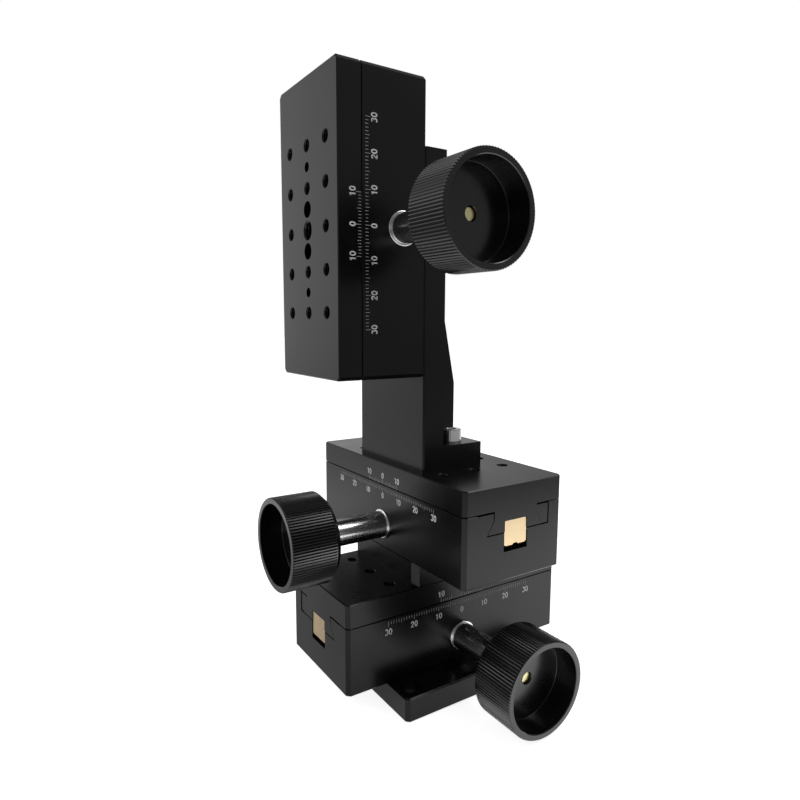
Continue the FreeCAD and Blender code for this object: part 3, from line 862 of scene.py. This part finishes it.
class STAGE_OT_scales(bpy.types.Operator):
    """Engrave the millimetre scales on the bodies and the verniers on the tables"""
    bl_idname = "stage.scales"
    bl_label = "Scales"

    def execute(self, context):
        size = sizes("stage_scale")
        seam, edge = BODY_HIGH[2], BODY_HIGH[2] + SEAM_GAP
        height = size.numeral / MM
        body_lines = scale_lines(size, size.reach, 1.0, seam - size.body_margin / MM, -1)
        table_lines = scale_lines(size, VERNIER_REACH, VERNIER_STEP,
                                  edge + size.table_margin / MM, 1)
        table_numerals = numerals(VERNIER_REACH, VERNIER_STEP,
                                  seam + size.table_level / MM, height)
        for slide in SLIDES:
            level = seam - getattr(size, slide + "_level") / MM
            for name, bars, rider, paint in (
                    ("body_lines", body_lines, BODY_OF, "line_filling"),
                    ("body_numerals", numerals(size.reach, 1.0, level, height), BODY_OF, "filling"),
                    ("table_lines", table_lines, TABLE_OF, "line_filling"),
                    ("table_numerals", table_numerals, TABLE_OF, "filling")):
                obj = skin(slide + "_" + name, on_side(bars, slide), close_rows=False, weld=True)
                outfit(obj, rider[slide], paint)
        return {"FINISHED"}


# Studio, in metres, radians and watts

CAMERA_PLACE = (-0.13037, -0.18000, 0.12467)
CAMERA_YAW = 0.5782
CAMERA_PITCH = -0.1265
CAMERA_ROLL = 0.0039
FOCAL_PIXELS = 623.4
FRAME_PIXELS = 800
SENSOR = 36.0
CAMERA_CLIP = (0.01, 20.0)
SOFTBOXES = (
    ("softbox_left", (-0.75, 0.35, 0.45), (0, 0, 0.1), 0.7, 0.9, 2.2),
    ("softbox_top", (0.43, -0.335, 0.86), (0, 0, 0.08), 0.5, 0.5, 3.6),
)
# A ramp is two pairs, each of a value and its result. The world's bright side faces this way.
BRIGHT_SIDE = (-0.55, 0.83, 0.0)
BRIGHT_SIDE_RAMP = (-0.05, 0.0), (0.55, 1.0)
BRIGHT_HEIGHT_RAMP = (0.36, 1.0), (0.5, 0.2)
DARK_LOW, DARK_HIGH = 0.12, 0.4
DARK_HIGH_SHARE = 0.55
# The floor's ramps, which paint light and shade on it, run over metres: towards the camera, across
# the view, from the spot of painted shadow in the object's own shade, and from the middle.
FLOOR_REACH = 4.0
FLOOR_FRONT_RAMP = (-0.34, 0.15), (-0.13, 1.0)
FLOOR_ACROSS_RAMP = (-0.06, 0.72), (0.17, 1.2)
PAINTED_SHADOW_SPOT = (-0.08, 0.05)
PAINTED_SHADOW_RAMP = (0.06, 0.42), (0.16, 1.0)
FLOOR_MIDDLE_RAMPS = (
    ((0.23, 1.0), (0.29, 0.6)),
    ((0.25, 1.3), (0.6, 1.0)),
    ((0.4, 1.0), (1.8, 1.9)),
)
FLOOR_MOST_PALE = 0.95


def ramp(tree, value, low, high):
    """A smooth step of a value: low and high are each a pair of the value and its result."""
    made = tree.nodes.new("ShaderNodeMapRange")
    made.interpolation_type = "SMOOTHSTEP"
    made.inputs["From Min"].default_value, made.inputs["To Min"].default_value = low
    made.inputs["From Max"].default_value, made.inputs["To Max"].default_value = high
    tree.links.new(value, made.inputs["Value"])
    return made.outputs["Result"]


def calculate(tree, operation, *terms):
    """The result of a calculation on sockets and plain numbers."""
    made = tree.nodes.new("ShaderNodeMath")
    made.operation = operation
    for place, term in enumerate(terms):
        if isinstance(term, bpy.types.NodeSocket):
            tree.links.new(term, made.inputs[place])
        else:
            made.inputs[place].default_value = term
    return made.outputs["Value"]


def set_world(studio):
    """Light from all round, worked out from the direction alone: bright behind and to the left
    of the object, less so high up, and dark on the camera's side. The camera sees plain white."""
    world = bpy.data.worlds.new("studio_world")
    bpy.context.scene.world = world
    world.use_nodes = True
    tree = world.node_tree
    tree.nodes.clear()
    nodes, links = tree.nodes, tree.links

    where = nodes.new("ShaderNodeTexCoord")
    dot = nodes.new("ShaderNodeVectorMath")
    dot.operation = "DOT_PRODUCT"
    dot.inputs[1].default_value = Vector(BRIGHT_SIDE).normalized()
    links.new(where.outputs["Generated"], dot.inputs[0])
    split = nodes.new("ShaderNodeSeparateXYZ")
    links.new(where.outputs["Generated"], split.inputs["Vector"])
    behind = ramp(tree, dot.outputs["Value"], *BRIGHT_SIDE_RAMP)
    low_behind = ramp(tree, split.outputs["Z"], *BRIGHT_HEIGHT_RAMP)
    low_front = ramp(tree, split.outputs["Z"], (DARK_LOW, studio.dark),
                     (DARK_HIGH, studio.dark * DARK_HIGH_SHARE))
    both = calculate(tree, "MULTIPLY", behind, low_behind)
    total = calculate(tree, "MULTIPLY_ADD", both, studio.bright - studio.dark, low_front)
    lit = nodes.new("ShaderNodeBackground")
    links.new(total, lit.inputs["Strength"])
    white = nodes.new("ShaderNodeBackground")
    white.inputs["Color"].default_value = (1, 1, 1, 1)
    ray = nodes.new("ShaderNodeLightPath")
    mix = nodes.new("ShaderNodeMixShader")
    links.new(ray.outputs["Is Camera Ray"], mix.inputs["Fac"])
    links.new(lit.outputs["Background"], mix.inputs[1])
    links.new(white.outputs["Background"], mix.inputs[2])
    output = nodes.new("ShaderNodeOutputWorld")
    links.new(mix.outputs["Shader"], output.inputs["Surface"])


def floor_shares(tree, place):
    """Painted light and shade on the floor: how much of the floor's light the object gets from a
    spot. Less far out in front, more from the front right, a painted pool of light, than from the
    back left, and least in a painted shadow at the left, where the object's own shade falls."""
    def distance(x, y):
        made = tree.nodes.new("ShaderNodeVectorMath")
        made.operation = "DISTANCE"
        made.inputs[1].default_value = (x, y, 0.0)
        tree.links.new(place, made.inputs[0])
        return made.outputs["Value"]

    apart = tree.nodes.new("ShaderNodeSeparateXYZ")
    tree.links.new(place, apart.inputs["Vector"])
    across = calculate(tree, "SUBTRACT", apart.outputs["X"], apart.outputs["Y"])
    shares = [ramp(tree, apart.outputs["Y"], *FLOOR_FRONT_RAMP),
              ramp(tree, across, *FLOOR_ACROSS_RAMP),
              ramp(tree, distance(*PAINTED_SHADOW_SPOT), *PAINTED_SHADOW_RAMP)]
    middle = distance(0.0, 0.0)
    shares += [ramp(tree, middle, *pairs) for pairs in FLOOR_MIDDLE_RAMPS]
    total = shares[0]
    for one in shares[1:]:
        total = calculate(tree, "MULTIPLY", total, one)
    return total


def floor_finish(studio):
    """White floor. The camera sees it lifted to white except where the object shades it. The metal
    sees it lifted too, but with painted light and shade: its glow and colour follow the shares of
    each spot, and light bounced from the floor takes the same painted colour."""
    recipe = Recipe("studio_floor")
    tree = recipe.tree
    tree.nodes.remove(recipe.shader)
    where = recipe.node("ShaderNodeTexCoord")
    ray = recipe.node("ShaderNodeLightPath")
    camera, glossy = ray.outputs["Is Camera Ray"], ray.outputs["Is Glossy Ray"]
    # The shares paint light and shade into the floor's glow and colour, for the metal's reflections
    # and the bounced light.
    shares = floor_shares(tree, where.outputs["Object"])
    unseen = calculate(tree, "SUBTRACT", 1.0, camera)
    shown = calculate(tree, "MULTIPLY_ADD", shares, unseen, camera)
    direct = calculate(tree, "MAXIMUM", camera, glossy)
    lifted = calculate(tree, "MULTIPLY", shown, direct)
    strength = calculate(tree, "MULTIPLY", lifted, studio.lift)
    pale = calculate(tree, "MULTIPLY", shown, studio.floor)
    paleness = calculate(tree, "MINIMUM", pale, FLOOR_MOST_PALE)
    tone = recipe.node("ShaderNodeCombineColor")
    for channel in ("Red", "Green", "Blue"):
        tree.links.new(paleness, tone.inputs[channel])
    chalk = recipe.node("ShaderNodeBsdfDiffuse")
    recipe.join(tone, "Color", chalk, "Color")
    lift = recipe.node("ShaderNodeEmission")
    tree.links.new(strength, lift.inputs["Strength"])
    both = recipe.node("ShaderNodeAddShader")
    tree.links.new(chalk.outputs[0], both.inputs[0])
    tree.links.new(lift.outputs[0], both.inputs[1])
    tree.links.new(both.outputs[0], recipe.output.inputs["Surface"])
    return recipe.material


def softbox(name, place, target, width, height, power):
    """A rectangular lamp that faces a target."""
    lamp = bpy.data.lights.new(name, "AREA")
    lamp.shape = "RECTANGLE"
    lamp.size, lamp.size_y, lamp.energy = width, height, power
    obj = bpy.data.objects.new(name, lamp)
    aim = (Vector(target) - Vector(place)).to_track_quat("-Z", "Y").to_matrix().to_4x4()
    obj.matrix_world = Matrix.Translation(place) @ aim
    bpy.context.scene.collection.objects.link(obj)
    obj.visible_camera = False


class STAGE_OT_studio(bpy.types.Operator):
    """Set the floor, the light and the camera"""
    bl_idname = "stage.studio"
    bl_label = "Studio"

    def execute(self, context):
        studio = sizes("stage_studio")
        set_world(studio)
        corners = [(x * FLOOR_REACH, y * FLOOR_REACH, CAD_BOX[0][2])
                   for x, y in ((-1, -1), (1, -1), (1, 1), (-1, 1))]
        mesh = bpy.data.meshes.new("floor")
        mesh.from_pydata(corners, [], [(0, 1, 2, 3)])
        mesh.materials.append(floor_finish(studio))
        floor = bpy.data.objects.new("floor", mesh)
        context.scene.collection.objects.link(floor)
        for box in SOFTBOXES:
            softbox(*box)
        camera = bpy.data.cameras.new("camera")
        camera.sensor_width = SENSOR
        camera.lens = FOCAL_PIXELS / FRAME_PIXELS * SENSOR
        camera.clip_start, camera.clip_end = CAMERA_CLIP
        view = bpy.data.objects.new("camera", camera)
        view.matrix_world = (Matrix.Translation(CAMERA_PLACE) @ Matrix.Rotation(-CAMERA_YAW, 4, "Z")
                             @ Matrix.Rotation(math.pi / 2 + CAMERA_PITCH, 4, "X")
                             @ Matrix.Rotation(CAMERA_ROLL, 4, "Z"))
        context.scene.collection.objects.link(view)
        context.scene.camera = view
        context.scene.view_settings.view_transform = "Standard"
        return {"FINISHED"}


STEPS = (STAGE_OT_finish_solids, STAGE_OT_knobs, STAGE_OT_sleeves, STAGE_OT_bracket_screws,
         STAGE_OT_threads, STAGE_OT_scales, STAGE_OT_studio)


class STAGE_PT_panel(bpy.types.Panel):
    """Steps and settings of the stage"""
    bl_idname = "STAGE_PT_panel"
    bl_label = "Dovetail stage"
    bl_space_type = "VIEW_3D"
    bl_region_type = "UI"
    bl_category = "Stage"

    def draw(self, context):
        column = self.layout.column(align=True)
        for step in STEPS:
            column.operator(step.bl_idname)
        for group in GROUPS:
            box = self.layout.box()
            settings = getattr(context.scene, group)
            for name in settings.__annotations__:
                box.prop(settings, name)


CLASSES = tuple(GROUPS.values()) + STEPS + (STAGE_PT_panel,)


def register():
    """Register the classes and put each group of settings on the scene."""
    for cls in CLASSES:
        bpy.utils.register_class(cls)
    for name, group in GROUPS.items():
        setattr(bpy.types.Scene, name, bpy.props.PointerProperty(type=group))


def unregister():
    """Take the settings and the classes away again."""
    for name in GROUPS:
        delattr(bpy.types.Scene, name)
    for cls in reversed(CLASSES):
        bpy.utils.unregister_class(cls)


def main():
    """Register, and run each step in order."""
    register()
    bpy.ops.stage.finish_solids()
    bpy.ops.stage.knobs()
    bpy.ops.stage.sleeves()
    bpy.ops.stage.bracket_screws()
    bpy.ops.stage.threads()
    bpy.ops.stage.scales()
    bpy.ops.stage.studio()


if __name__ == "__main__":
    main()
